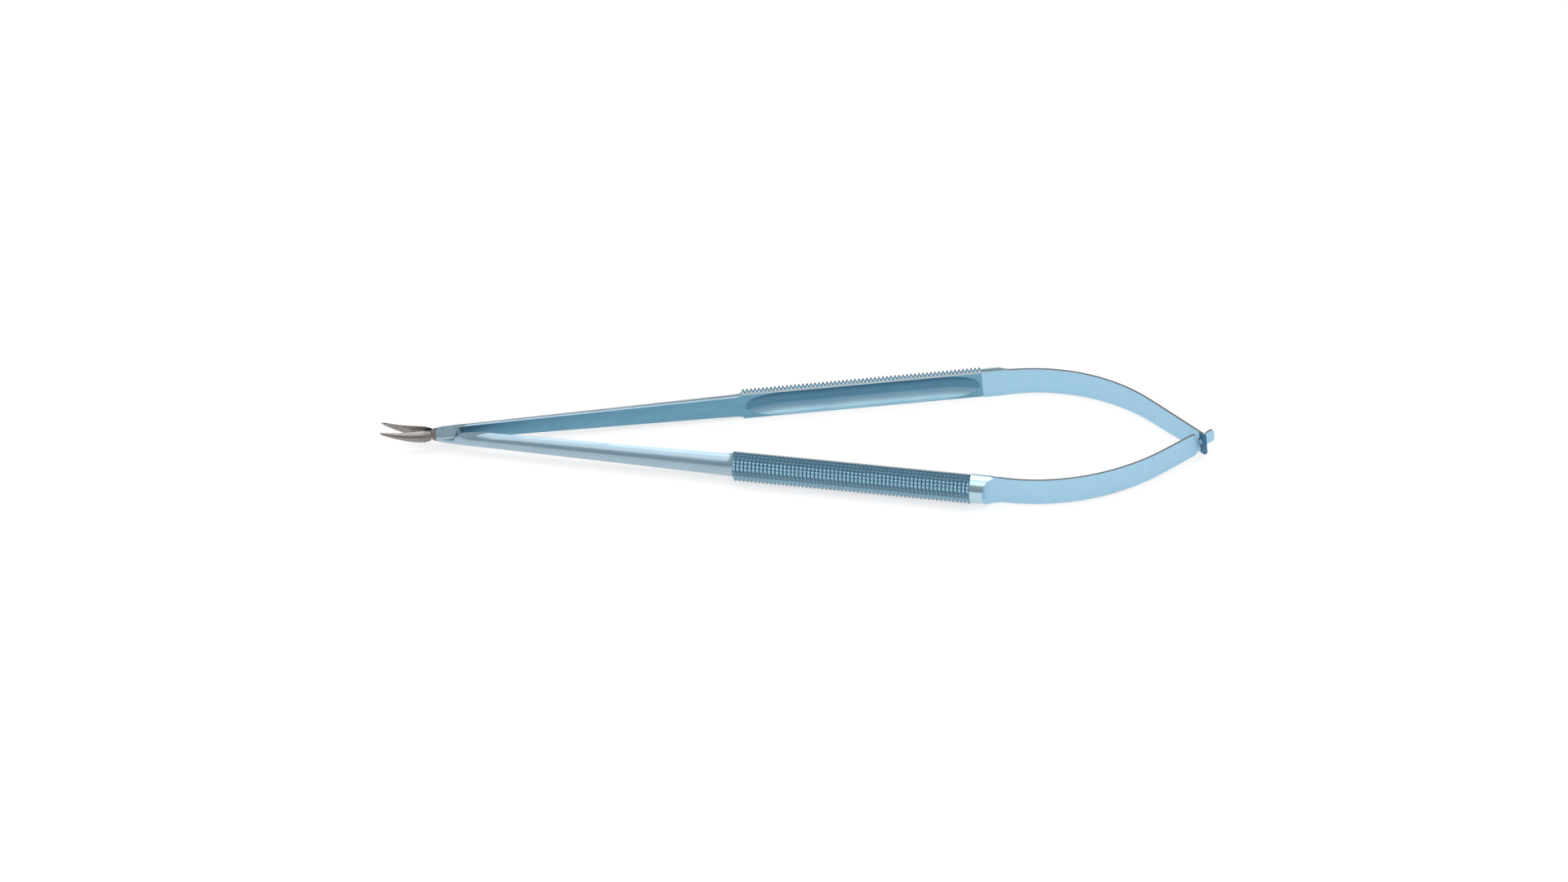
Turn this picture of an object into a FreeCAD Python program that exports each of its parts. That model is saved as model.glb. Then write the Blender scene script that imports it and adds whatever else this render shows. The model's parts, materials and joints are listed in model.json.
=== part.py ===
"""Micro-surgical needle holder with round spring handles.

All sizes are millimetres, +Z is up and the instrument lies on a table.
+X runs from the jaws to the tail of the springs, +Y away from the near handle.
Every lever is first made in its own handle frame: the pivot axis is Z, the
handle runs along +X and the flat inside of the handle is the plane y = FLAT.
"""
import math
import os

import FreeCAD
import Part

V = FreeCAD.Vector
os.makedirs("parts", exist_ok=True)

# angles in degrees
ALPHA = 7.6            # handle flat against the middle plane, springs relaxed
THETA = 6.5            # jaw face against the middle plane, springs relaxed
EPS = ALPHA - THETA    # handle flat against its own jaw face

# handle
FLAT = 0.02            # handle flat, outward of the pivot axis
OFF = 0.23             # centre line of the round, inward of the pivot axis
R_PIV = 2.28           # radius of the taper at the pivot
L_SHANK = 73.1         # end of the plain taper
L_FLARE = 1.6          # hollow flare from the taper up to the knurl
L_GRIP0 = L_SHANK + L_FLARE   # first knurl valley
PITCH = 1.0
TEETH = 60
L_GRIP1 = L_GRIP0 + PITCH * TEETH
R_ROOT = 3.95
R_TIP = R_ROOT + 0.70
ROWS = 12
STEP = 0.39806         # from the end of the taper up to the floor of the knurl
TAPER = (R_ROOT - STEP - R_PIV) / L_SHANK
LAND = 0.638557        # from the handle flat out to the first row of the knurl
SLOPE = 0.158557       # part of it that slopes down to that row
EDGE = 0.10            # broken edge beside the flat
Z_RIM = R_ROOT + 0.27  # half height of the grip at its plain edges
SPAN = math.degrees(math.acos((OFF + FLAT + LAND) / R_ROOT))   # half angle that the knurl covers
IN_SCOOP = 10.8        # from either end of the knurl to the scoop's full depth
R_BAR = R_ROOT + 0.35   # polished bar behind the knurl

# box joint
Z_BOX = 1.3            # half height of the box
GAP = 0.02             # half of the gap between the two laps
BACK = 5.18            # back shoulder line, x = BACK - |y|
FRONT = 4.39           # front shoulder line, x = -FRONT + |y|
SLACK = 0.05           # play of the shoulders when the jaws are shut

# screw
R_HEAD = 1.2
R_PIN = 0.8

# leaf
T_LEAF = 0.5
H_TAIL = R_BAR - 0.78  # half height of each leaf at its tail
H_NECK = 1.05          # half height of the neck that passes through the slit
H_HEAD = 1.95          # half height of the head that holds it there
SEAM = 0.02
L_RUN = 7.15           # from the seam to the end of the milled run-out
L_LEAF = L_GRIP1 + SEAM + L_RUN      # where the plain leaf starts
START_FAR = L_LEAF + 0.13            # where each leaf starts to curve
START_NEAR = L_LEAF + 2.20
R_FAR, TURN_FAR = 45.32, 48.03       # radius and angle of each curve
R_NEAR, TURN_NEAR = 49.40, 46.29


def rot_z(shape, deg):
    s = shape.copy()
    s.rotate(V(0, 0, 0), V(0, 0, 1), deg)
    return s


def turn_over(shape):
    s = shape.copy()
    s.rotate(V(0, 0, 0), V(1, 0, 0), 180)
    return s


def prism_xy(points, z0, z1):
    w = Part.makePolygon([V(x, y, z0) for x, y in points] + [V(points[0][0], points[0][1], z0)])
    return Part.Face(w).extrude(V(0, 0, z1 - z0))


def prism_xz(points, y0, y1):
    w = Part.makePolygon([V(x, y0, z) for x, z in points] + [V(points[0][0], y0, points[0][1])])
    return Part.Face(w).extrude(V(0, y1 - y0, 0))


def radius(x):
    return R_PIV + TAPER * x


def half_bar():
    """Outer half of the turned blank, from the heel of the jaw to the knurl."""
    y0 = -OFF
    pts = [(-5.0, 0.0), (-5.0, 1.80), (-3.25, 1.45), (-2.5, 1.93), (0.0, R_PIV), (L_SHANK, radius(L_SHANK))]
    p = [V(x, y0 + r, 0) for x, r in pts]
    edges = [Part.makeLine(p[i], p[i + 1]) for i in range(len(p) - 1)]
    a = p[-1]
    b = V(L_GRIP0, y0 + R_ROOT - 0.05, 0)
    r0, r1 = radius(L_SHANK), R_ROOT - 0.05
    m = V(L_SHANK + L_FLARE / 2, y0 + r0 + 0.2961 * (r1 - r0), 0)
    edges.append(Part.Arc(a, m, b).toShape())
    c = V(L_GRIP0, y0, 0)
    edges.append(Part.makeLine(b, c))
    edges.append(Part.makeLine(c, p[0]))
    face = Part.Face(Part.Wire(edges))
    body = face.revolve(V(0, y0, 0), V(1, 0, 0), 360)
    return body.common(Part.makeBox(L_GRIP0 + 20, 8, 12, V(-6, 0, -6)))


def grip_outline():
    """Cross-section of the grip at the floor of the knurl, as (y, z)."""
    y1, y2 = FLAT + EDGE, FLAT + LAND - SLOPE
    pts = [(FLAT, 0.12 - Z_RIM), (y1, -Z_RIM), (y2, -Z_RIM)]
    for j in range(ROWS + 1):
        t = math.radians(-SPAN + 2 * SPAN * j / ROWS)
        pts.append((-OFF + R_ROOT * math.cos(t), R_ROOT * math.sin(t)))
    pts += [(y2, Z_RIM), (y1, Z_RIM), (FLAT, Z_RIM - 0.12)]
    return pts


def grip_core():
    pts = grip_outline()
    w = Part.makePolygon([V(L_GRIP0, y, z) for y, z in pts] + [V(L_GRIP0, pts[0][0], pts[0][1])])
    return Part.Face(w).extrude(V(L_GRIP1 - L_GRIP0, 0, 0))


def scoop():
    """Long ball-milled hollow in the flat inside of the grip."""
    r, rc, depth = 4.7, 28.0, 1.93
    yc = FLAT + depth - r
    x0, x1 = L_GRIP0 + IN_SCOOP, L_GRIP1 - IN_SCOOP + 0.2
    ra = rc - r
    a = math.radians(34)
    def arc(x, s):
        c = V(x, yc - ra, 0)
        p = [V(c.x + s * ra * math.sin(k * a / 2), c.y + ra * math.cos(k * a / 2), 0) for k in range(3)]
        return p
    left, right = arc(x0, -1), arc(x1, 1)
    path = Part.Wire([Part.Arc(left[2], left[1], left[0]).toShape(),
                      Part.makeLine(left[0], right[0]),
                      Part.Arc(right[0], right[1], right[2]).toShape()])
    t = V(math.cos(a), math.sin(a), 0)
    ring = Part.Wire([Part.makeCircle(r, left[2], t)])
    return path.makePipeShell([ring], True, True)


def knurl_faces():
    """Four-sided pyramids in straight rows, and the two plain edges beside them."""
    def ring(x):
        return [V(x, y, z) for y, z in grip_outline()[3:-3]]
    out = []
    rings = [ring(L_GRIP0 + PITCH * i) for i in range(TEETH + 1)]
    for i in range(TEETH):
        x = L_GRIP0 + PITCH * (i + 0.5)
        for j in range(ROWS):
            t = math.radians(-SPAN + 2 * SPAN * (j + 0.5) / ROWS)
            tip = V(x, -OFF + R_TIP * math.cos(t), R_TIP * math.sin(t))
            a, b = rings[i][j], rings[i + 1][j]
            c, d = rings[i + 1][j + 1], rings[i][j + 1]
            for p, q in ((a, b), (b, c), (c, d), (d, a)):
                out.append(Part.Face(Part.makePolygon([p, q, tip, p])))
    for s, k in ((-1, 0), (1, ROWS)):
        e0, e1 = (V(x, FLAT + LAND - SLOPE, s * Z_RIM) for x in (L_GRIP0, L_GRIP1))
        row = [rings[i][k] for i in range(TEETH + 1)]
        out.append(Part.Face(Part.makePolygon(row + [e1, e0, row[0]])))
    return out


def is_valley_strip(face, side):
    """True for the long plane strips of the core that the knurl takes the place of."""
    if not isinstance(face.Surface, Part.Plane):
        return False
    b = face.BoundBox
    if abs(b.XMin - L_GRIP0) > 0.01 or abs(b.XMax - L_GRIP1) > 0.01:
        return False
    return side * face.CenterOfMass.y > FLAT + LAND - 0.8 * SLOPE


def knurled(core, side):
    keep = [f for f in core.Faces if not is_valley_strip(f, side)]
    if len(core.Faces) - len(keep) != ROWS + 2:
        raise ValueError("knurl strips found: %d" % (len(core.Faces) - len(keep)))
    new = Part.Compound(knurl_faces())
    if side < 0:
        new = turn_over(new)
    both = Part.Compound(keep + new.Faces)
    both.sewShape()
    shells = both.Shells
    if len(shells) != 1 or not shells[0].isClosed():
        raise ValueError("knurl not closed: %d shells" % len(shells))
    solid = Part.Solid(shells[0])
    if solid.Volume < 0:
        solid.reverse()
    return solid


def lever_blank():
    """Upper lever without its jaw: handle on +y, lap on +z, heel on -y."""
    far = half_bar()
    near = rot_z(far.mirror(V(0, 0, 0), V(0, 1, 0)).common(Part.makeBox(10.6, 8, 12, V(-5.1, -8, -6))), -EPS)
    # handle
    handle = far.common(Part.makeBox(L_GRIP0 + 20, 8, 12, V(1.5, FLAT, -6)))
    rims = [e for e in handle.Edges if e.Length > 0.8 * L_SHANK and all(abs(v.Y - FLAT) < 1e-3 for v in e.Vertexes)]
    handle = handle.makeChamfer(0.32, rims)
    below = rot_z(prism_xy([(-6, -1), (BACK + SLACK + 1, -1), (BACK + SLACK, 0), (BACK + SLACK - 3, 3), (-6, 3)], -6, GAP), -EPS)
    handle = handle.cut(below)
    # lap
    mask = rot_z(prism_xy([(-FRONT, 0), (-FRONT + 3, 3), (BACK, 3), (BACK, 0), (BACK - 3, -3), (-5.2, -3), (-5.2, -0.012), (-FRONT, -0.012)], GAP, 6), -EPS)
    lap = far.fuse(near).common(mask)
    # heel of the jaw under the lap
    heel_mask = rot_z(prism_xy([(-5.2, -0.012), (-FRONT - SLACK, -0.012), (-FRONT - SLACK + 3, -3.012), (-5.2, -3.012)], -6, GAP), -EPS)
    heel = near.common(heel_mask)
    body = handle.fuse([lap, heel])
    # flats of the box, running out on the handle, steeper on the lap's own side
    for k, x, slope in ((1, 2.0, 0.25), (-1, 4.5, 0.16)):
        side = prism_xz([(-4.7, k * 2.4), (-3.3, k * Z_BOX), (x, k * Z_BOX), (24, k * (Z_BOX + slope * (24 - x))), (24, k * 9), (-4.7, k * 9)], -5, 5)
        body = body.cut(side)
    # hollow bevel on the free end of the lap
    c = rot_z(Part.Vertex(6.0, -1.5, 0), -ALPHA).Point
    cone = Part.makeCone(2.25 - 0.46 * 1.3, 2.25 + 0.46 * 3.0, 4.3, V(c.x, c.y, -1.0), V(0, 0, 1))
    cone = cone.common(Part.makeBox(20, 14, 6, V(-8, FLAT - 14, GAP)))
    body = body.cut(cone)
    grip = grip_core()
    body = body.fuse(grip).cut(scoop())
    return body.removeSplitter()


def jaw(side):
    """Half-round jaw, straight in plan and curved up; side -1 near, +1 far."""
    rc = 29.0
    rows = [(5.0, 0.23, 1.80), (6.9, 0.20, 1.66), (8.6, 0.17, 1.45), (10.2, 0.13, 1.21),
            (11.85, 0.09, 0.95), (13.5, 0.05, 0.70), (14.9, 0.02, 0.48), (15.6, 0.0, 0.34), (15.85, 0.0, 0.20)]
    smooth = Part.BSplineCurve()
    smooth.interpolate([V(*row) for row in rows])
    stations = 15
    first, last = smooth.FirstParameter, smooth.LastParameter
    wires = []
    for k in range(stations):
        s, off, r = smooth.value(first + (last - first) * k / (stations - 1))
        a = math.asin((s - 5.0) / rc)
        cx, cz = -s, rc - rc * math.cos(a)
        ez = V(math.sin(a), 0, math.cos(a))
        yc = -side * off
        h = math.sqrt(r * r - (off + 0.012) ** 2)
        base = V(cx, 0, cz)
        def at(y, z):
            return base + V(0, y, 0) + ez * z
        p0, p1 = at(side * 0.012, -h), at(side * 0.012, h)
        pm = at(yc + side * r, 0)
        wires.append(Part.Wire([Part.Arc(p0, pm, p1).toShape(), Part.makeLine(p1, p0)]))
    return rot_z(Part.makeLoft(wires, True, True), -EPS if side < 0 else EPS)


def straight(l_start, r_mid, turn):
    """Where the middle line of a leaf leaves its curve, and its direction from there."""
    a = math.radians(turn)
    ym = FLAT + T_LEAF / 2
    return V(l_start + r_mid * math.sin(a), ym - r_mid + r_mid * math.cos(a), 0), V(math.cos(a), -math.sin(a), 0)


def runs_to_crossing():
    """Straight run of the far and the near leaf up to the point where their middle lines cross."""
    far = [rot_z(Part.Vertex(v), ALPHA).Point for v in straight(START_FAR, R_FAR, TURN_FAR)]
    near = [rot_z(Part.Vertex(V(v.x, -v.y, 0)), -ALPHA).Point for v in straight(START_NEAR, R_NEAR, TURN_NEAR)]
    (p, d), (q, e) = far, near
    w = q - p
    det = d.y * e.x - d.x * e.y
    return (w.y * e.x - w.x * e.y) / det, (d.x * w.y - d.y * w.x) / det


def leaf(l_start, r_mid, turn, before, after):
    """Plan outline of a spring in the handle frame of the upper lever, with its tail frame."""
    t = T_LEAF
    ym = FLAT + t / 2
    a = math.radians(turn)
    cx, cy = l_start, ym - r_mid
    def on(r, k):
        return V(cx + r * math.sin(k), cy + r * math.cos(k), -6)
    ri, ro = r_mid - t / 2, r_mid + t / 2
    d = V(math.cos(a), -math.sin(a), 0)
    i0, i1, i2 = on(ri, 0), on(ri, a / 2), on(ri, a)
    o0, o1, o2 = on(ro, 0), on(ro, a / 2), on(ro, a)
    length = before + after
    i3, o3 = i2 + d * length, o2 + d * length
    x0 = L_GRIP1 + SEAM
    top = R_BAR
    # the milled oblique cut: a hollow arc from the bar down to the leaf
    xs, xe = x0 + 3.3, L_LEAF
    h = top - (FLAT + t)
    m = V(xs + 1.32, FLAT + t + h * 0.27, -6)
    p = [V(x0, FLAT, -6), i0]
    edges = [Part.makeLine(p[0], p[1]), Part.Arc(i0, i1, i2).toShape(), Part.makeLine(i2, i3), Part.makeLine(i3, o3),
             Part.makeLine(o3, o2), Part.Arc(o2, o1, o0).toShape(), Part.makeLine(o0, V(xe, FLAT + t, -6)),
             Part.Arc(V(xe, FLAT + t, -6), m, V(xs, top, -6)).toShape(),
             Part.makeLine(V(xs, top, -6), V(x0, top, -6)), Part.makeLine(V(x0, top, -6), V(x0, FLAT, -6))]
    body = Part.Face(Part.Wire(edges)).extrude(V(0, 0, 12))
    mid = (i2 + o2) * 0.5
    mid.z = 0
    return body, mid + d * before, d


def z_outline(points):
    """Side outline of the leaf as a prism along y, from (x, half height) pairs."""
    up = [V(x, -60, z) for x, z in points]
    dn = [V(x, -60, -z) for x, z in points]
    s1 = Part.BSplineCurve()
    s1.interpolate(up)
    s2 = Part.BSplineCurve()
    s2.interpolate(dn[::-1])
    w = Part.Wire([s1.toShape(), Part.makeLine(up[-1], dn[-1]), s2.toShape(), Part.makeLine(dn[0], up[0])])
    return Part.Face(w).extrude(V(0, 75, 0))


def plate_cut(origin, d, outline, thick=8.0):
    """Prism across a leaf: outline is a closed wire in (along, z) made by fn(u, z)."""
    n = V(-d.y, d.x, 0)
    def at(u, z):
        return origin + d * u + V(0, 0, z) - n * (thick / 2)
    return Part.Face(outline(at)).extrude(n * thick)


def spring(l_start, r_mid, turn, before, kind):
    after = 8.0
    body, cross, d = leaf(l_start, r_mid, turn, before, after)
    x0 = L_GRIP1 + SEAM
    body = body.common(z_outline([(x0 + x, R_BAR + z) for x, z in ((-1, 0.15), (2, 0.12), (5, -0.06), (8, -0.22), (12, -0.29),
                                                                     (20, -0.33), (32, -0.40), (44, -0.62), (70, -1.10))]))
    ring = Part.makeBox(12, 20, 14, V(x0 - 0.5, -10, -7)).cut(Part.makeCylinder(R_BAR, 14, V(x0 - 1, -OFF, 0), V(1, 0, 0)))
    body = body.cut(ring)
    if kind == "slot":
        e = 2.15
        def end(at):
            r = 1.1
            k = r * (1 - math.sqrt(0.5))
            h = H_TAIL
            return Part.Wire([Part.makeLine(at(e, -h + r), at(e, h - r)),
                              Part.Arc(at(e, h - r), at(e - k, h - k), at(e - r, h)).toShape(),
                              Part.makeLine(at(e - r, h), at(e - r, h + 2)), Part.makeLine(at(e - r, h + 2), at(9, h + 2)),
                              Part.makeLine(at(9, h + 2), at(9, -h - 2)), Part.makeLine(at(9, -h - 2), at(e - r, -h - 2)),
                              Part.makeLine(at(e - r, -h - 2), at(e - r, -h)),
                              Part.Arc(at(e - r, -h), at(e - k, -h + k), at(e, -h + r)).toShape()])
        body = body.cut(plate_cut(cross, d, end))
        def slit(at):
            a, b, s, r = -3.1, 0.85, H_NECK + 0.15, 0.4
            k = r * (1 - math.sqrt(0.5))
            corners = []
            for x, z, dx, dz in ((a, s, 1, -1), (a, -s, 1, 1), (b, -s, -1, 1), (b, s, -1, -1)):
                turn = [at(x + dx * r, z), at(x + dx * k, z + dz * k), at(x, z + dz * r)]
                corners.append(turn if dx == -dz else turn[::-1])
            edges = []
            for i, c in enumerate(corners):
                edges += [Part.Arc(*c).toShape(), Part.makeLine(c[2], corners[(i + 1) % 4][0])]
            return Part.Wire(edges)
        body = body.cut(plate_cut(cross, d, slit))
    else:
        def tongue(at):
            b, r, s, w = -0.82, 1.5, H_NECK, H_HEAD
            h = H_TAIL
            k = r * (1 - math.sqrt(0.5))
            return Part.Wire([Part.makeLine(at(b - r - 0.5, h + 2), at(b - r - 0.5, h)),
                              Part.makeLine(at(b - r - 0.5, h), at(b - r, h)),
                              Part.Arc(at(b - r, h), at(b - k, h - k), at(b, h - r)).toShape(),
                              Part.makeLine(at(b, h - r), at(b, s)), Part.makeLine(at(b, s), at(1.35, s)),
                              Part.Arc(at(1.35, s), at(1.65, s + 0.55), at(2.3, w - 0.05)).toShape(),
                              Part.makeLine(at(2.3, w - 0.05), at(3.3, w)),
                              Part.Arc(at(3.3, w), at(3.88, w - 0.32), at(4.08, w - 0.95)).toShape(),
                              Part.Arc(at(4.08, w - 0.95), at(4.15, 0), at(4.08, 0.95 - w)).toShape(),
                              Part.Arc(at(4.08, 0.95 - w), at(3.88, 0.32 - w), at(3.3, -w)).toShape(),
                              Part.makeLine(at(3.3, -w), at(2.3, 0.05 - w)),
                              Part.Arc(at(2.3, 0.05 - w), at(1.65, -s - 0.55), at(1.35, -s)).toShape(),
                              Part.makeLine(at(1.35, -s), at(b, -s)), Part.makeLine(at(b, -s), at(b, -h + r)),
                              Part.Arc(at(b, -h + r), at(b - k, -h + k), at(b - r, -h)).toShape(),
                              Part.makeLine(at(b - r, -h), at(b - r - 0.5, -h)),
                              Part.makeLine(at(b - r - 0.5, -h), at(b - r - 0.5, -h - 2)),
                              Part.makeLine(at(b - r - 0.5, -h - 2), at(12, -h - 2)),
                              Part.makeLine(at(12, -h - 2), at(12, h + 2)), Part.makeLine(at(12, h + 2), at(b - r - 0.5, h + 2))])
        body = body.cut(plate_cut(cross, d, tongue))
    return body


def pivot_screw():
    """Slotted screw, flush on both faces of the box."""
    head = Part.makeCylinder(R_HEAD, 0.5, V(0, 0, Z_BOX - 0.5))
    pin = Part.makeCylinder(R_PIN, 2 * Z_BOX - 0.5, V(0, 0, -Z_BOX))
    slot = Part.makeBox(4, 0.24, 0.5, V(-2, -0.12, Z_BOX - 0.27))
    slot.rotate(V(0, 0, 0), V(0, 0, 1), -62)
    return head.fuse(pin).cut(slot).removeSplitter()


blank = lever_blank()
# upper lever: bore and counterbore with running play round the screw
bore_u = Part.makeCylinder(R_PIN + 0.03, 6, V(0, 0, -3)).fuse(Part.makeCylinder(R_HEAD + 0.03, 3, V(0, 0, Z_BOX - 0.52)))
upper = blank.cut(bore_u).removeSplitter()
upper = knurled(upper, 1)
bore_l = Part.makeCylinder(R_PIN + 0.001, 6, V(0, 0, -3))
lower = turn_over(blank).cut(bore_l).removeSplitter()
lower = knurled(lower, -1)

run_far, run_near = runs_to_crossing()
# each jaw is one piece with its lever; it is a solid of its own, seated on the heel at the waist,
# so that the space between the open jaws stays free where the wide lap is beside it
nodes = {
    "far_lever": rot_z(upper, ALPHA),
    "near_lever": rot_z(lower, -ALPHA),
    "near_jaw": rot_z(jaw(-1), ALPHA),
    "far_jaw": rot_z(jaw(1), -ALPHA),
    "pivot_screw": rot_z(pivot_screw(), 0),
    "far_spring": rot_z(spring(START_FAR, R_FAR, TURN_FAR, run_far, "slot"), ALPHA),
    "near_spring": rot_z(turn_over(spring(START_NEAR, R_NEAR, TURN_NEAR, run_near, "tongue")), -ALPHA),
}

box = Part.Compound(list(nodes.values())).optimalBoundingBox(False, False)
SHIFT = V(-(box.XMin + box.XMax) / 2, -(box.YMin + box.YMax) / 2, -box.ZMin)
for name, shape in nodes.items():
    shape.translate(SHIFT)
    if not shape.isValid():
        print("not valid:", name)
    shape.exportStep("parts/%s.step" % name)
    b = shape.optimalBoundingBox(False, False)
    print("%-12s solids %d faces %5d volume %9.3f  x %.3f %.3f  y %.3f %.3f  z %.3f %.3f"
          % (name, len(shape.Solids), len(shape.Faces), shape.Volume, b.XMin, b.XMax, b.YMin, b.YMax, b.ZMin, b.ZMax))
print("straight runs %.4f %.4f" % (run_far, run_near))
print("pivot at %.5f %.5f %.5f" % (SHIFT.x, SHIFT.y, SHIFT.z))
print("size %.3f %.3f %.3f" % (box.XLength, box.YLength, box.ZLength))
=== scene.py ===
"""Looks of the micro-surgical needle holder: blue anodised levers and springs, bare grey jaws."""
import json
import math

import bmesh
import bpy
from mathutils import Matrix, Vector


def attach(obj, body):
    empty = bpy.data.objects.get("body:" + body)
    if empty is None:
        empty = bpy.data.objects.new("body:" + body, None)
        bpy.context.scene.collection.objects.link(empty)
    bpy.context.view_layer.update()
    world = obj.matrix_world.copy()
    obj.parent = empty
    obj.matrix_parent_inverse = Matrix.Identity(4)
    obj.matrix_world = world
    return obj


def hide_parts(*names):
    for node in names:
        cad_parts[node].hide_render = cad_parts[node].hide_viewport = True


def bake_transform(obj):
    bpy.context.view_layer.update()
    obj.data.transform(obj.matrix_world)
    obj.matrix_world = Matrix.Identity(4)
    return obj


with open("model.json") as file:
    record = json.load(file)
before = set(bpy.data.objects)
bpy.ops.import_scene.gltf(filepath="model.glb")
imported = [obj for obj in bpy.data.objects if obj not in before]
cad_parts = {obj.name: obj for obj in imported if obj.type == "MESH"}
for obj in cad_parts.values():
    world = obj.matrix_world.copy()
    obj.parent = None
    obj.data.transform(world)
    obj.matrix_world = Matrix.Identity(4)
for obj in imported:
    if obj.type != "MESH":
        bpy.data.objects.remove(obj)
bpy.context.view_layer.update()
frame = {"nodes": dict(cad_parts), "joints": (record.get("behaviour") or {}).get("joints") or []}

MM = 0.001
PIVOT = Vector(frame["joints"][0]["pos_m"])
ALPHA = math.radians(7.6)       # handle flat against the middle plane
THETA = math.radians(6.5)       # jaw face against the middle plane
OFF = 0.23                      # centre line of the round, inward of the pivot axis
GREY_END = -1.7                 # bare metal reaches this far, along the instrument from the pivot

# knurl, in millimetres and degrees, as on the solid
GRIP_START = 74.7               # from the pivot along a handle to the first valley
PITCH = 1.0
TEETH = 60
ROWS = 12
ROOT = 3.95                     # radius of the valleys
TIP = 4.65                      # radius of the points
SPAN = 77.0                     # half angle that the rows cover
WORN = 0.10                     # share of a tooth's width that is worn flat at its point
RIM = 3.98                      # half height at which the plain edge beside the knurl begins
LAND_OUT = 0.50                 # that edge ends this far outward of the pivot axis
FLAT_OUT = 0.075                # nothing milled flat reaches further outward than this
FLAT_START = 5.3                # the deeper blue of the flat begins here, behind the box joint

# springs
SEAM = GRIP_START + PITCH * TEETH
ROOT_REACH = 4.235              # radius of the polished root; run-out and leaf lie inside it
ROOT_LENGTH = 8.3
RUN_OUT = 6.5                   # ground edges begin this far behind the seam
CUTS, FIRST_CUT, CUT_STEP = 68, 4.0, 0.8     # cross cuts behind the seam that let a leaf bend
CROSSING_Y = -2.4 * MM          # the far leaf crosses the near one here
SHARP = math.radians(28)        # a steeper angle between two faces stays an edge
MERGE, MERGE_TEETH = 1e-6, 4e-6              # metres; what lies closer together becomes one point

# hard grains of the gripping faces, in millimetres
GRAINS_PER_M2 = 9.0e6
GRAIN_RADIUS = 0.085
GRAIN_SUNK = 0.068
# depths from the plane between the shut jaws: grains stand on what lies above the first, and the
# gripping face's grey reaches down to the second
FACE_TOP, FACE_SKIN = -0.02, -0.045

# anodised colours, dark and light end of the grain
SHANK = (0.185, 0.325, 0.420), (0.245, 0.400, 0.505)
KNURL = (0.140, 0.300, 0.410), (0.190, 0.370, 0.490)
# across the hollow of the grip, from its upper lip (0) to its lower lip (1), a painted gradient of light and
# shade: dark painted shade above, a pale painted highlight towards the lower lip, darker again at the lip
# itself
SCOOP_PAINTED_LIGHT_AND_SHADE = ((0.64, (0.100, 0.235, 0.335)), (0.77, (0.370, 0.610, 0.750)), (0.87, (0.480, 0.740, 0.880)),
         (0.925, (0.430, 0.680, 0.820)), (0.975, (0.220, 0.380, 0.470)))
SCOOP_HALF = 3.8                # half height of the hollow
FLAT_BLUE = (0.140, 0.320, 0.430), (0.172, 0.365, 0.485)
LEAF = (0.345, 0.570, 0.715), (0.395, 0.625, 0.775)
LEAF_EDGE = (0.215, 0.228, 0.245)
FLAP_PAINTED_SHADE = (0.085, 0.215, 0.320)    # painted shade on the inner face of the far leaf beyond the crossing
ROOT_BLUE = (0.430, 0.600, 0.680)
GREY = (0.230, 0.215, 0.205)
# painted highlights on the points of the knurl and on the plain edges beside it
POINT_PAINTED_HIGHLIGHT = (0.50, 0.66, 0.74)
EDGE_PAINTED_HIGHLIGHT = (0.66, 0.74, 0.79)
BRUSHED = (0.200, 0.183, 0.170), (0.330, 0.306, 0.286)
# from the middle of a grain outwards
GRAIN_GREYS = ((0.10, (0.80, 0.77, 0.74)), (0.36, (0.46, 0.43, 0.41)), (0.72, (0.15, 0.14, 0.13)))

# roughness of milled faces, of the round outside and of the knurl
SATIN_MILLED, SATIN_ROUND, SATIN_KNURL = 0.40, 0.44, 0.20
FILM_IOR, FILM_ROUGH = 2.3, 0.18


class Tree:
    """A node tree built step by step."""

    def __init__(self, tree):
        self.tree = tree

    def add(self, kind, **settings):
        node = self.tree.nodes.new(kind)
        for key, value in settings.items():
            setattr(node, key, value)
        return node

    def join(self, value, socket):
        """Gives a socket a constant, or a link from another node's output."""
        if isinstance(value, bpy.types.NodeSocket):
            self.tree.links.new(value, socket)
        elif isinstance(value, tuple) and socket.type == "RGBA":
            socket.default_value = (*value, 1.0)
        else:
            socket.default_value = value

    def math(self, kind, a, b=0.0, clamp=False):
        m = self.add("ShaderNodeMath", operation=kind, use_clamp=clamp)
        self.join(a, m.inputs[0])
        self.join(b, m.inputs[1])
        return m.outputs[0]

    def dot(self, a, b):
        m = self.add("ShaderNodeVectorMath", operation="DOT_PRODUCT")
        self.join(a, m.inputs[0])
        self.join(b, m.inputs[1])
        return m.outputs["Value"]

    def xyz(self, x, y, z):
        c = self.add("ShaderNodeCombineXYZ")
        for value, socket in zip((x, y, z), c.inputs):
            self.join(value, socket)
        return c.outputs[0]

    def split(self, vector):
        s = self.add("ShaderNodeSeparateXYZ")
        self.join(vector, s.inputs[0])
        return s.outputs

    def times(self, *factors):
        total = factors[0]
        for factor in factors[1:]:
            total = self.math("MULTIPLY", total, factor)
        return total

    def rest(self, value):
        """What is left of one."""
        return self.math("SUBTRACT", 1.0, value)

    def hypot(self, a, b):
        squares = [self.math("POWER", side, 2.0) for side in (a, b)]
        return self.math("SQRT", self.math("ADD", *squares))

    def step(self, value, edge, width):
        """Rises from 0 to 1 as the value passes the edge; a negative width makes it fall."""
        rise = self.math("DIVIDE", self.math("SUBTRACT", value, edge), width)
        return self.math("ADD", rise, 0.5, clamp=True)


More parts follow.
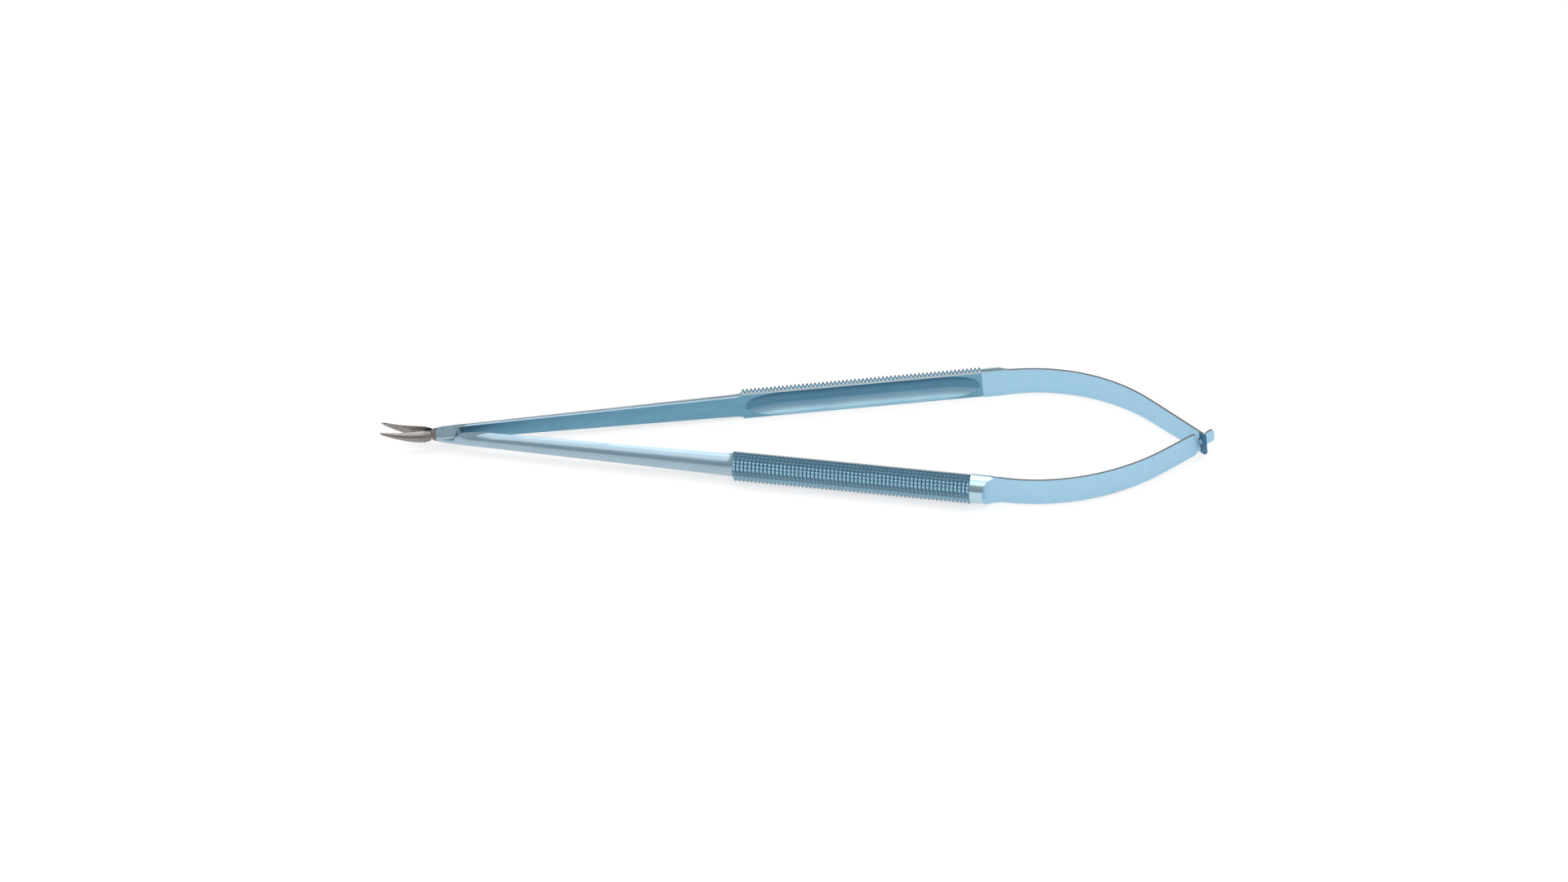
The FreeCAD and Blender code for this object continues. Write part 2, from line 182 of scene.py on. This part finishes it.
class Finish(Tree):
    """One procedural finish, a metal unless its sockets say otherwise."""

    def __init__(self, name):
        self.mat = bpy.data.materials.new(name)
        self.mat.use_nodes = True
        super().__init__(self.mat.node_tree)
        self.tree.nodes.clear()
        out = self.add("ShaderNodeOutputMaterial")
        self.shader = self.add("ShaderNodeBsdfPrincipled")
        self.join(self.shader.outputs[0], out.inputs["Surface"])
        self.coord = self.add("ShaderNodeTexCoord")

    def placed(self, angle=0.0):
        """Object coordinates in millimetres from the pivot, turned by an angle about Z."""
        shift = self.add("ShaderNodeMapping", vector_type="TEXTURE")
        shift.inputs["Location"].default_value = PIVOT
        shift.inputs["Rotation"].default_value = (0, 0, angle)
        shift.inputs["Scale"].default_value = (MM, MM, MM)
        self.join(self.coord.outputs["Object"], shift.inputs["Vector"])
        return shift.outputs[0]

    def noise(self, place, scale, stretch=(1, 1, 1), detail=3.0):
        thin = self.add("ShaderNodeMapping")
        thin.inputs["Scale"].default_value = stretch
        self.join(place, thin.inputs["Vector"])
        n = self.add("ShaderNodeTexNoise")
        n.inputs["Scale"].default_value = scale
        n.inputs["Detail"].default_value = detail
        self.join(thin.outputs[0], n.inputs["Vector"])
        return n.outputs["Fac"]

    def ramp(self, value, *stops):
        r = self.add("ShaderNodeValToRGB")
        while len(r.color_ramp.elements) < len(stops):
            r.color_ramp.elements.new(0.5)
        for element, (at, colour) in zip(r.color_ramp.elements, stops):
            element.position = at
            element.color = (*colour, 1.0)
        self.join(value, r.inputs["Fac"])
        return r.outputs["Color"]

    def mix(self, share, a, b, kind="MIX"):
        m = self.add("ShaderNodeMix", data_type="RGBA", blend_type=kind)
        # inputs 6 and 7 and output 2 are the node's colour sockets
        self.join(share, m.inputs["Factor"])
        self.join(a, m.inputs[6])
        self.join(b, m.inputs[7])
        return m.outputs[2]

    def span(self, value, low, high):
        m = self.add("ShaderNodeMapRange")
        m.inputs["To Min"].default_value, m.inputs["To Max"].default_value = low, high
        self.join(value, m.inputs["Value"])
        return m.outputs["Result"]

    def bump(self, height, strength, depth_mm):
        b = self.add("ShaderNodeBump")
        b.inputs["Strength"].default_value = strength
        b.inputs["Distance"].default_value = depth_mm * MM
        self.join(height, b.inputs["Height"])
        self.join(b.outputs[0], self.shader.inputs["Normal"])

    def film(self, share, rough):
        """The clear oxide film over the blue, which reflects white."""
        self.join(share, self.shader.inputs["Coat Weight"])
        self.join(rough, self.shader.inputs["Coat Roughness"])
        self.shader.inputs["Coat IOR"].default_value = FILM_IOR

    def done(self, colour, rough):
        self.join(colour, self.shader.inputs["Base Color"])
        self.join(rough, self.shader.inputs["Roughness"])
        self.shader.inputs["Metallic"].default_value = 1.0
        return self.mat


def lever_metal(name, side):
    """Blue anodised titanium of a lever: satin round outside, deeper on the knurl, flat and hollow, with
    light and shade painted across the hollow.
    """
    f = Finish(name)
    place = f.placed(side * ALPHA)
    along, across, high = f.split(place)
    out = f.times(across, side)
    grain = f.noise(place, 9.0, (0.06, 1, 1), 4.0)
    blast = f.noise(place, 14.0)
    cloud = f.noise(place, 0.35, (0.4, 1, 1), 2.0)
    reach = f.hypot(f.math("ADD", out, OFF), high)
    in_grip = f.step(along, GRIP_START, 0.25)
    in_scoop = f.times(in_grip, f.step(reach, ROOT - 0.2, -0.15))
    on_flat = f.times(f.step(out, FLAT_OUT, -0.08), f.step(along, FLAT_START, 0.8))
    inside = f.math("MAXIMUM", in_scoop, on_flat)
    milled = f.times(on_flat, f.rest(f.step(out, -0.12, -0.10)))
    shank, flat, grip = (f.ramp(grain, (0.30, dark), (0.72, light))
                         for dark, light in (SHANK, FLAT_BLUE, KNURL))
    shank = f.mix(in_grip, shank, grip)
    # painted light and shade across the hollow: dark above, pale towards the lower lip
    scoop_painted_light = f.ramp(f.step(high, 0.0, -2 * SCOOP_HALF), *SCOOP_PAINTED_LIGHT_AND_SHADE)
    colour = f.mix(milled, f.mix(in_scoop, shank, scoop_painted_light), flat)
    mottle = f.ramp(cloud, (0.32, (0.93, 0.95, 0.96)), (0.68, (1.04, 1.03, 1.02)))
    colour = f.mix(1.0, colour, mottle, "MULTIPLY")
    # painted highlights: the points of the knurl are painted pale, and the plain edges beside it painted
    # bright
    colour = f.mix(f.times(f.step(reach, TIP - 0.05, 0.10), in_grip), colour, POINT_PAINTED_HIGHLIGHT)
    land_painted_highlight = f.times(f.step(f.math("ABSOLUTE", high), RIM, 0.10), f.step(out, LAND_OUT, -0.10), in_grip)
    colour = f.mix(land_painted_highlight, colour, EDGE_PAINTED_HIGHLIGHT)
    ahead = f.split(f.placed())[0]
    colour = f.mix(f.step(ahead, GREY_END, -0.12), colour, GREY)
    satin = f.math("MAXIMUM", f.times(inside, SATIN_MILLED), f.times(f.rest(in_grip), SATIN_ROUND))
    rough = f.math("ADD", f.math("MAXIMUM", satin, SATIN_KNURL), f.span(grain, -0.05, 0.06))
    f.bump(f.math("ADD", f.times(grain, 0.6), f.times(blast, 0.4)), 0.14, 0.02)
    # the film is thin on the knurl, and there is none on milled faces or bare metal
    outside = f.times(f.rest(inside), f.step(ahead, GREY_END, 0.12))
    f.film(f.times(outside, f.rest(f.times(in_grip, 0.7))), FILM_ROUGH)
    return f.done(colour, rough)


def spring_metal(name, side):
    """Fine matt light blue leaf with ground edges and a polished round root."""
    f = Finish(name)
    place = f.placed(side * ALPHA)
    along, across, high = f.split(place)
    reach = f.hypot(f.math("ADD", f.times(across, side), OFF), high)
    root = f.times(f.step(reach, ROOT_REACH, 0.03), f.step(along, SEAM + ROOT_LENGTH, -0.3))
    speck = f.noise(place, 6.0, detail=5.0)
    drawn = f.noise(place, 2.2, (0.05, 1, 1), 4.0)
    both = f.math("ADD", f.times(speck, 0.5), f.times(drawn, 0.5))
    colour = f.ramp(both, (0.38, LEAF[0]), (0.62, LEAF[1]))
    # the narrow edges of the leaf are ground bare; their normals stay upright at every pose
    normal_up = f.math("ABSOLUTE", f.split(f.add("ShaderNodeNewGeometry").outputs["Normal"])[2])
    edge = f.times(f.step(normal_up, 0.85, 0.10), f.step(along, SEAM + RUN_OUT, 1.5))
    # the inner face of the far leaf beyond the crossing is painted darker, as shade
    painted_shade_flap = f.add("ShaderNodeAttribute", attribute_name="painted_shade_flap").outputs["Fac"]
    colour = f.mix(painted_shade_flap, colour, FLAP_PAINTED_SHADE)
    colour = f.mix(edge, colour, LEAF_EDGE)
    colour = f.mix(root, colour, ROOT_BLUE)
    f.bump(f.times(both, f.rest(root)), 0.14, 0.02)
    return f.done(colour, f.span(root, 0.46, 0.12))


def screw_metal(name):
    """Blue screw with turning marks round its axis."""
    f = Finish(name)
    x, y, _ = f.split(f.placed())
    rings = f.math("SINE", f.times(f.hypot(x, y), 60.0))
    worn = f.noise(f.placed(), 8.0)
    f.bump(rings, 0.12, 0.01)
    f.film(1.0, 0.20)
    return f.done(f.ramp(worn, (0.3, SHANK[0]), (0.7, SHANK[1])), f.span(rings, 0.38, 0.48))


def grip_normal(side):
    """Which way the gripping face of a jaw looks."""
    return -math.sin(THETA), -side * math.cos(THETA), 0.0


def jaw_metal(name, side):
    """Bare grey titanium; the gripping face is dusted with fine hard grains."""
    f = Finish(name)
    place = f.placed()
    brushed = f.noise(place, 7.0, (0.12, 1, 1), 4.0)
    skin = f.ramp(brushed, (0.30, BRUSHED[0]), (0.72, BRUSHED[1]))
    grains = f.add("ShaderNodeTexVoronoi", feature="F1")
    grains.inputs["Scale"].default_value = 4.6
    f.join(place, grains.inputs["Vector"])
    distance = grains.outputs["Distance"]
    dust = f.ramp(distance, *GRAIN_GREYS)
    face = f.step(f.dot(place, grip_normal(side)), FACE_SKIN, 0.02)
    f.bump(f.times(face, f.rest(distance)), 0.6, 0.05)
    return f.done(f.mix(face, skin, dust), f.span(face, 0.30, 0.50))


class Growth(Tree):
    """A Geometry Nodes tree with named inputs, whose result becomes a plain mesh."""

    def __init__(self, name):
        super().__init__(bpy.data.node_groups.new(name, "GeometryNodeTree"))
        self.tree.interface.new_socket("Geometry", in_out="INPUT", socket_type="NodeSocketGeometry")
        self.tree.interface.new_socket("Geometry", in_out="OUTPUT", socket_type="NodeSocketGeometry")
        self.into = self.add("NodeGroupInput")
        self.values = {}

    def ask(self, name, value):
        kind = {int: "NodeSocketInt", float: "NodeSocketFloat"}.get(type(value), "NodeSocketVector")
        socket = self.tree.interface.new_socket(name, in_out="INPUT", socket_type=kind)
        self.values[socket.identifier] = value
        return self.into.outputs[name]

    def finish(self, pieces, metal):
        """Joins the pieces' geometry, makes instances real and gives all of it one metal."""
        together = self.add("GeometryNodeJoinGeometry")
        for piece in pieces:
            self.tree.links.new(piece, together.inputs[0])
        real = self.add("GeometryNodeRealizeInstances")
        self.join(together.outputs[0], real.inputs[0])
        clad = self.add("GeometryNodeSetMaterial")
        clad.inputs["Material"].default_value = metal
        self.join(real.outputs[0], clad.inputs["Geometry"])
        self.join(clad.outputs[0], self.add("NodeGroupOutput").inputs[0])

    def run(self, piece):
        grow = piece.modifiers.new("growth", "NODES")
        grow.node_group = self.tree
        for identifier, value in self.values.items():
            grow[identifier] = value
        piece.data.update()
        result = bpy.data.meshes.new_from_object(piece.evaluated_get(bpy.context.evaluated_depsgraph_get()))
        piece.modifiers.clear()
        piece.data = result


def knurl(name, side, metal):
    """Rows of four-sided teeth round the outside of a grip."""
    g = Growth(name)
    start, pitch, tip = g.ask("Start", GRIP_START), g.ask("Pitch", PITCH), g.ask("Tip radius", TIP)
    root, span = g.ask("Root radius", ROOT), g.ask("Half angle", math.radians(SPAN))
    worn = g.ask("Worn share", WORN)
    teeth, rows = g.ask("Teeth", TEETH), g.ask("Rows", ROWS)
    half = g.math("DIVIDE", span, rows)
    base = g.times(root, g.math("COSINE", half))
    tall = g.times(g.math("SUBTRACT", tip, base), g.rest(g.times(worn, 0.5)))
    flank = g.add("GeometryNodeMeshCone", fill_type="NONE")
    cap = g.add("GeometryNodeMeshCircle", fill_type="NGON")
    for shape, radius in ((flank, "Radius Top"), (cap, "Radius")):
        shape.inputs["Vertices"].default_value = 4
        g.join(worn, shape.inputs[radius])
    flank.inputs["Radius Bottom"].default_value = 1.0
    g.join(tall, flank.inputs["Depth"])
    lift = g.add("GeometryNodeTransform")
    g.join(cap.outputs[0], lift.inputs["Geometry"])
    g.join(g.xyz(0.0, 0.0, tall), lift.inputs["Translation"])
    whole = g.add("GeometryNodeJoinGeometry")
    g.join(flank.outputs["Mesh"], whole.inputs[0])
    g.join(lift.outputs[0], whole.inputs[0])
    square = g.add("GeometryNodeTransform")
    square.inputs["Rotation"].default_value = (0, 0, math.radians(45))
    g.join(whole.outputs[0], square.inputs["Geometry"])
    fit = g.add("GeometryNodeTransform")
    wide = g.times(root, g.math("SINE", half), math.sqrt(2.0))
    g.join(g.xyz(g.times(pitch, math.sqrt(0.5)), wide, 1.0), fit.inputs["Scale"])
    g.join(square.outputs[0], fit.inputs["Geometry"])

    index = g.add("GeometryNodeInputIndex").outputs[0]
    ring = g.math("FLOOR", g.math("DIVIDE", g.math("ADD", index, 0.5), rows))
    row = g.math("SUBTRACT", index, g.times(ring, rows))
    along = g.math("ADD", start, g.times(g.math("ADD", ring, 0.5), pitch))
    halves = g.math("ADD", g.times(row, 2.0), 1.0)
    angle = g.math("SUBTRACT", g.times(halves, half), span)
    out = g.math("SUBTRACT", g.times(base, g.math("COSINE", angle)), OFF)
    spots = g.add("GeometryNodePoints")
    g.join(g.times(teeth, rows), spots.inputs["Count"])
    g.join(g.xyz(along, out, g.times(base, g.math("SINE", angle))), spots.inputs["Position"])
    lean = g.add("FunctionNodeEulerToRotation")
    g.join(g.xyz(g.math("SUBTRACT", angle, math.pi / 2), 0.0, 0.0), lean.inputs[0])
    place = g.add("GeometryNodeInstanceOnPoints")
    g.join(spots.outputs[0], place.inputs["Points"])
    g.join(fit.outputs[0], place.inputs["Instance"])
    g.join(lean.outputs[0], place.inputs["Rotation"])
    turned = g.add("GeometryNodeTransform")
    turned.inputs["Rotation"].default_value = (0.0 if side > 0 else math.pi, 0, 0)
    g.join(place.outputs[0], turned.inputs["Geometry"])
    home = g.add("GeometryNodeTransform")
    home.inputs["Translation"].default_value = PIVOT
    home.inputs["Rotation"].default_value = (0, 0, side * ALPHA)
    home.inputs["Scale"].default_value = (MM, MM, MM)
    g.join(turned.outputs[0], home.inputs["Geometry"])
    g.finish((g.into.outputs["Geometry"], home.outputs[0]), metal)
    return g


def dusting(name, side, metal):
    """Fine hard grains sunk in the gripping face of a jaw."""
    g = Growth(name)
    density, size = g.ask("Grains per square metre", GRAINS_PER_M2), g.ask("Grain radius", GRAIN_RADIUS * MM)
    seed = g.ask("Seed", 5 + side)
    from_pivot = g.add("ShaderNodeVectorMath", operation="SUBTRACT")
    g.join(g.add("GeometryNodeInputPosition").outputs[0], from_pivot.inputs[0])
    from_pivot.inputs[1].default_value = PIVOT
    depth = g.dot(from_pivot.outputs[0], grip_normal(side))
    on_face = g.add("FunctionNodeCompare", data_type="FLOAT", operation="GREATER_THAN")
    g.join(depth, on_face.inputs["A"])
    on_face.inputs["B"].default_value = FACE_TOP * MM
    spots = g.add("GeometryNodeDistributePointsOnFaces")
    g.join(g.into.outputs["Geometry"], spots.inputs["Mesh"])
    g.join(on_face.outputs[0], spots.inputs["Selection"])
    g.join(density, spots.inputs["Density"])
    g.join(seed, spots.inputs["Seed"])
    sunk = g.add("GeometryNodeSetPosition")
    g.join(spots.outputs["Points"], sunk.inputs["Geometry"])
    sunk.inputs["Offset"].default_value = Vector(grip_normal(side)) * (-GRAIN_SUNK * MM)
    grain = g.add("GeometryNodeMeshIcoSphere")
    g.join(size, grain.inputs["Radius"])
    grain.inputs["Subdivisions"].default_value = 1
    spread = [g.add("FunctionNodeRandomValue", data_type=kind) for kind in ("FLOAT", "FLOAT_VECTOR")]
    for node in spread:
        g.join(seed, node.inputs["Seed"])
    spread[0].inputs[2].default_value, spread[0].inputs[3].default_value = 0.6, 1.0
    spread[1].inputs[0].default_value, spread[1].inputs[1].default_value = (0, 0, 0), (6.28, 6.28, 6.28)
    place = g.add("GeometryNodeInstanceOnPoints")
    g.join(sunk.outputs[0], place.inputs["Points"])
    g.join(grain.outputs["Mesh"], place.inputs["Instance"])
    g.join(spread[1].outputs[0], place.inputs["Rotation"])
    g.join(spread[0].outputs[1], place.inputs["Scale"])
    g.finish((g.into.outputs["Geometry"], place.outputs[0]), metal)
    return g


def in_handle(point, side):
    """A point of the shared frame in a handle's own frame, in millimetres: along, outward, up."""
    p = Matrix.Rotation(-side * ALPHA, 3, "Z") @ (Vector(point) - PIVOT) / MM
    return p.x, side * p.y, p.z


def from_handle(along, side):
    """A point on a handle's own middle line, in the shared frame."""
    return PIVOT + Matrix.Rotation(side * ALPHA, 3, "Z") @ Vector((along, 0, 0)) * MM


def at_tip(point, side):
    """True at the point of a tooth of the knurl."""
    along, out, up = in_handle(point, side)
    return GRIP_START < along < SEAM and math.hypot(out + OFF, up) > ROOT + 0.75 * (TIP - ROOT)


def smoothed(mesh, merge, round_at=None):
    """Merges what lies together and keeps only the steep angles as edges, except at rounded points."""
    work = bmesh.new()
    work.from_mesh(mesh)
    bmesh.ops.remove_doubles(work, verts=work.verts, dist=merge)
    for face in work.faces:
        face.smooth = True
    for edge in work.edges:
        edge.smooth = len(edge.link_faces) == 2 and edge.calc_face_angle(0.0) < SHARP
        if round_at and any(round_at(v.co) for v in edge.verts):
            edge.smooth = True
    work.to_mesh(mesh)
    work.free()


def dressed(node, name, metal, body=None, growth=None, stations=(), tips=None):
    """A merged copy of a CAD node that stands for it, with what grows on it."""
    mesh = frame["nodes"][node].data.copy()
    mesh.name = name
    work = bmesh.new()
    work.from_mesh(mesh)
    bmesh.ops.remove_doubles(work, verts=work.verts, dist=MERGE)
    if tips:
        pointed = [face for face in work.faces if any(tips(v.co) for v in face.verts)]
        bmesh.ops.delete(work, geom=pointed, context="FACES")
    for point, normal in stations:
        everything = work.verts[:] + work.edges[:] + work.faces[:]
        bmesh.ops.bisect_plane(work, geom=everything, plane_co=point, plane_no=normal, dist=1e-7)
    work.to_mesh(mesh)
    work.free()
    mesh.materials.clear()
    mesh.materials.append(metal)
    piece = bpy.data.objects.new(name, mesh)
    bpy.context.scene.collection.objects.link(piece)
    if growth:
        growth.run(piece)
        piece.data.materials.clear()
        piece.data.materials.append(metal)
    smoothed(piece.data, MERGE_TEETH if tips else MERGE, tips)
    piece.data.name = name
    # marks the faces of the far leaf beyond the crossing that get the painted shade
    if "spring" in node:
        marks = piece.data.attributes.new("painted_shade_flap", "FLOAT", "FACE")
        for face, mark in zip(piece.data.polygons, marks.data):
            beyond = face.center.y < CROSSING_Y and face.normal.y < -0.3
            mark.value = float(node == "far_spring" and beyond)
    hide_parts(node)
    if body:
        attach(piece, body)
    return piece


# camera at the photograph's angle
AZ, EL, ROLL = math.radians(9.77), math.radians(44.21), math.radians(6.77)
FRAME_PX = (1920, 1080)
PX_PER_M = 4914.0               # at the pivot, in that frame
DISTANCE = 2.0
PIVOT_PX = (543.8, 531.9)
back = Vector((math.sin(AZ) * math.cos(EL), -math.cos(AZ) * math.cos(EL), math.sin(EL)))
right = Vector((math.cos(AZ), math.sin(AZ), 0))
up = back.cross(right)
right, up = right * math.cos(ROLL) - up * math.sin(ROLL), right * math.sin(ROLL) + up * math.cos(ROLL)
cam = bpy.data.cameras.new("camera")
cam.sensor_width = 36.0
cam.lens = cam.sensor_width * PX_PER_M * DISTANCE / FRAME_PX[0]
cam.clip_start, cam.clip_end = 0.05, 20
camera = bpy.data.objects.new("camera", cam)
bpy.context.scene.collection.objects.link(camera)
aside, below = FRAME_PX[0] / 2 - PIVOT_PX[0], FRAME_PX[1] / 2 - PIVOT_PX[1]
aim = PIVOT + right * (aside / PX_PER_M) - up * (below / PX_PER_M)
looking = Matrix((right, up, back)).transposed().to_4x4()
camera.matrix_world = Matrix.Translation(aim + back * DISTANCE) @ looking
bpy.context.scene.camera = camera

# levers with their knurl, each jaw on the body that it is one piece with, the screw, and the springs
for side, which, jaw in ((1, "far", "near"), (-1, "near", "far")):
    half = which + "_half"
    metal = lever_metal(which + "_lever_metal", side)
    dressed(which + "_lever", which + "_lever_blue", metal, half,
            growth=knurl(which + "_knurl", side, metal), tips=lambda point, s=side: at_tip(point, s))
    metal = jaw_metal(jaw + "_jaw_metal", -side)
    dressed(jaw + "_jaw", jaw + "_jaw_grey", metal, half,
            growth=dusting(jaw + "_dust", -side, metal))
    lengthwise = from_handle(1, side) - PIVOT
    cuts = [(from_handle(SEAM + FIRST_CUT + CUT_STEP * k, side), lengthwise) for k in range(CUTS)]
    metal = spring_metal(which + "_spring_metal", side)
    leaf = dressed(which + "_spring", which + "_spring_leaf", metal, stations=cuts)
    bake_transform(leaf)
dressed("pivot_screw", "slotted_screw", screw_metal("screw_metal"), "near_half")

# pale floor, lit from below as well as from above
FLOOR_HALF = 6                  # metres
PAPER = (0.42, 0.42, 0.428, 1)
GLOW, GLOW_STRENGTH = (1.0, 0.992, 0.985, 1), 0.64
floor_mesh = bpy.data.meshes.new("floor")
corners = [(x * FLOOR_HALF, y * FLOOR_HALF, 0) for x, y in ((-1, -1), (1, -1), (1, 1), (-1, 1))]
floor_mesh.from_pydata(corners, [], [(0, 1, 2, 3)])
floor = bpy.data.objects.new("floor", floor_mesh)
bpy.context.scene.collection.objects.link(floor)
white = Finish("white_paper")
white.shader.inputs["Base Color"].default_value = PAPER
white.shader.inputs["Roughness"].default_value = 0.9
white.shader.inputs["Emission Color"].default_value = GLOW
white.shader.inputs["Emission Strength"].default_value = GLOW_STRENGTH
floor_mesh.materials.append(white.mat)


def softbox(name, place, size, power):
    """A rectangular soft light that looks at the middle of the object."""
    data = bpy.data.lights.new(name, "AREA")
    data.shape, data.size, data.size_y, data.energy = "RECTANGLE", size[0], size[1], power
    lamp = bpy.data.objects.new(name, data)
    bpy.context.scene.collection.objects.link(lamp)
    lamp.location = place
    lamp.rotation_mode = "QUATERNION"
    lamp.rotation_quaternion = (Vector() - Vector(place)).to_track_quat("-Z", "Y")


softbox("overhead", (0.0, -0.10, 0.90), (1.40, 1.30), 3.7)
softbox("core", (0.0, 0.12, 0.89), (1.20, 0.40), 1.9)

# studio dome: lighter overhead than round the horizon
world = bpy.data.worlds.new("studio")
world.use_nodes = True
dome = Tree(world.node_tree)
look = dome.add("ShaderNodeTexCoord").outputs["Generated"]
height = dome.split(look)[2]
bands = dome.add("ShaderNodeValToRGB")
stops = ((0.0, 0.40), (0.20, 0.40), (0.45, 0.48), (0.70, 0.54), (0.85, 0.65), (1.0, 0.75))
while len(bands.color_ramp.elements) < len(stops):
    bands.color_ramp.elements.new(0.5)
for element, (at, level) in zip(bands.color_ramp.elements, stops):
    element.position, element.color = at, (level, level, level, 1)
dome.join(height, bands.inputs["Fac"])
# a lighter patch above the camera
PATCH_HEIGHT, PATCH_HALF, PATCH_LEVEL = 0.80, 0.17, 0.55
off = dome.math("DIVIDE", dome.math("SUBTRACT", height, PATCH_HEIGHT), PATCH_HALF)
patch = dome.math("SUBTRACT", 1.0, dome.times(off, off), clamp=True)
patch = dome.times(patch, dome.math("MULTIPLY", dome.split(look)[1], -3.0, clamp=True))
total = dome.add("ShaderNodeMix", data_type="RGBA", blend_type="ADD")
total.inputs["Factor"].default_value = 1.0
dome.join(bands.outputs["Color"], total.inputs[6])
dome.join(dome.times(patch, PATCH_LEVEL), total.inputs[7])
dome.join(total.outputs[2], dome.tree.nodes["Background"].inputs["Color"])
bpy.context.scene.world = world
bpy.context.scene.view_settings.view_transform = "Standard"
